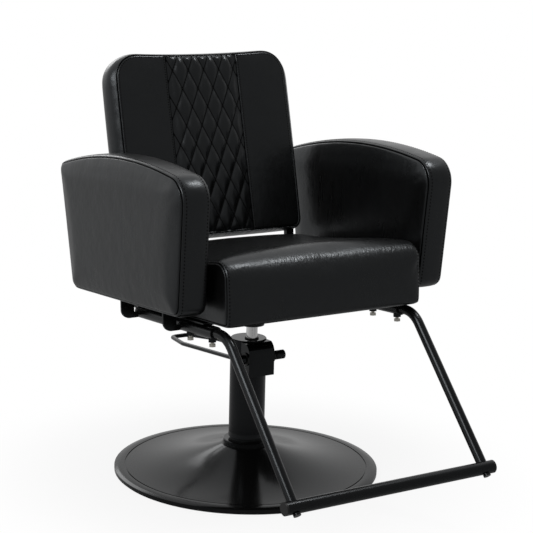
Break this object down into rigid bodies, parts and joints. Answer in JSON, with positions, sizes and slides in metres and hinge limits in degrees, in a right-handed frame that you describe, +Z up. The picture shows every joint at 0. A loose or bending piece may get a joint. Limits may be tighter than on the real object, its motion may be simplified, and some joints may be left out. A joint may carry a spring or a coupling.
{
  "type": "hairdressing chair",
  "caption": "Low padded hairdressing chair with a quilted back, thick arms, a tubular footrest, a hydraulic pump column with a foot lever, and a round base.",
  "frame": {"origin": "where the column's axis meets the floor, on the underside of the rubber ring", "axes": "+Z up, the chair faces -Y, and +X is the sitter's left"},
  "size_m": [0.698, 0.8959, 0.937],
  "materials": {
    "black_satin": "satin powder coat",
    "black_gloss": "gloss enamel",
    "chrome": "polished",
    "steel": "machined",
    "zinc": "zinc plated",
    "cast": "painted",
    "brass": "machined",
    "rubber": "matte",
    "black_plastic": "satin",
    "plywood": "raw",
    "vinyl": "semi-gloss grained vinyl on a knitted backing"
  },
  "bodies": {
    "base": {"base_disc": "black_satin", "floor_ring": "rubber", "base_stiffener": "black_satin", "base_bolts": "zinc", "pump_foot": "cast", "base_collar": "black_gloss", "column_sleeve": "black_satin", "pump_cylinder": "steel", "pump_housing": "black_gloss", "pump_cap": "black_gloss", "rod_seal": "rubber", "lever_bushes": "black_plastic", "return_spring": "steel", "plunger_barrel": "steel"},
    "piston": {"piston_rod": "chrome", "piston_head": "steel", "piston_ring": "rubber", "piston_nut": "steel"},
    "lever": {"lever_shaft": "black_satin", "lever_bar": "black_satin", "rocker_arm": "steel"},
    "plunger": {"pump_plunger": "steel"},
    "footrest": {"footrest_tube_left": "black_satin", "footrest_tube_right": "black_satin", "foot_bar": "black_satin", "foot_bar_bolts": "black_satin", "foot_bar_caps": "black_plastic"},
    "seat": {"seat_hub": "black_satin", "thrust_washer": "brass", "seat_plate": "black_satin", "front_cross_member": "black_satin", "rear_cross_member": "black_satin", "seat_bolts": "zinc", "clamp_nuts": "black_satin", "arm_bolts": "zinc", "seat_board": "plywood", "seat_cushion": "vinyl", "back_board": "plywood", "back_screws": "zinc", "back_cushion": "vinyl", "quilted_panel": "vinyl", "receiver_left": "black_satin", "receiver_strip_left": "black_satin", "arm_board_left": "plywood", "arm_cushion_left": "vinyl", "back_upright_left": "black_satin", "arm_bracket_front_left": "black_satin", "arm_bracket_rear_left": "black_satin", "receiver_right": "black_satin", "receiver_strip_right": "black_satin", "arm_board_right": "plywood", "arm_cushion_right": "vinyl", "back_upright_right": "black_satin", "arm_bracket_front_right": "black_satin", "arm_bracket_rear_right": "black_satin"},
    "clamp_front_left": {"clamp_bolt_front_left": "zinc"},
    "clamp_front_right": {"clamp_bolt_front_right": "zinc"},
    "clamp_rear_left": {"clamp_bolt_rear_left": "zinc"},
    "clamp_rear_right": {"clamp_bolt_rear_right": "zinc"}
  },
  "joints": [
    {"name": "seat_lift", "type": "slide", "parent": "base", "child": "piston", "axis": [0, 0, 1], "range_m": [-0.02, 0.13]},
    {"name": "seat_swivel", "type": "hinge", "parent": "piston", "child": "seat", "pos_m": [0, -0.014, 0.39], "axis": [0, 0, 1], "continuous": true},
    {"name": "pump_lever", "type": "hinge", "parent": "base", "child": "lever", "pos_m": [0, -0.044, 0.279], "axis": [1, 0, 0], "range_deg": [-25, 0], "stiffness_Nm_per_rad": 8, "springref_deg": 17.19},
    {"name": "plunger_slide", "type": "slide", "parent": "base", "child": "plunger", "axis": [0, 0, 1], "range_m": [-0.005, 0]},
    {"name": "footrest_slide", "type": "slide", "parent": "seat", "child": "footrest", "axis": [0, -0.9976, 0.0698], "range_m": [-0.005, 0.08]},
    {"name": "clamp_turn_front_left", "type": "hinge", "parent": "seat", "child": "clamp_front_left", "pos_m": [0.241, -0.23891, 0.39658], "axis": [0, -0.0698, -0.9976], "range_deg": [0, 720]},
    {"name": "clamp_turn_rear_left", "type": "hinge", "parent": "seat", "child": "clamp_rear_left", "pos_m": [0.241, -0.14813, 0.39024], "axis": [0, -0.0698, -0.9976], "range_deg": [0, 720]},
    {"name": "clamp_turn_front_right", "type": "hinge", "parent": "seat", "child": "clamp_front_right", "pos_m": [-0.241, -0.23891, 0.39658], "axis": [0, -0.0698, -0.9976], "range_deg": [0, 720]},
    {"name": "clamp_turn_rear_right", "type": "hinge", "parent": "seat", "child": "clamp_rear_right", "pos_m": [-0.241, -0.14813, 0.39024], "axis": [0, -0.0698, -0.9976], "range_deg": [0, 720]}
  ],
  "couplings": [
    {"joint": "plunger_slide", "follows": "pump_lever", "m_per_rad": 0.01}
  ]
}
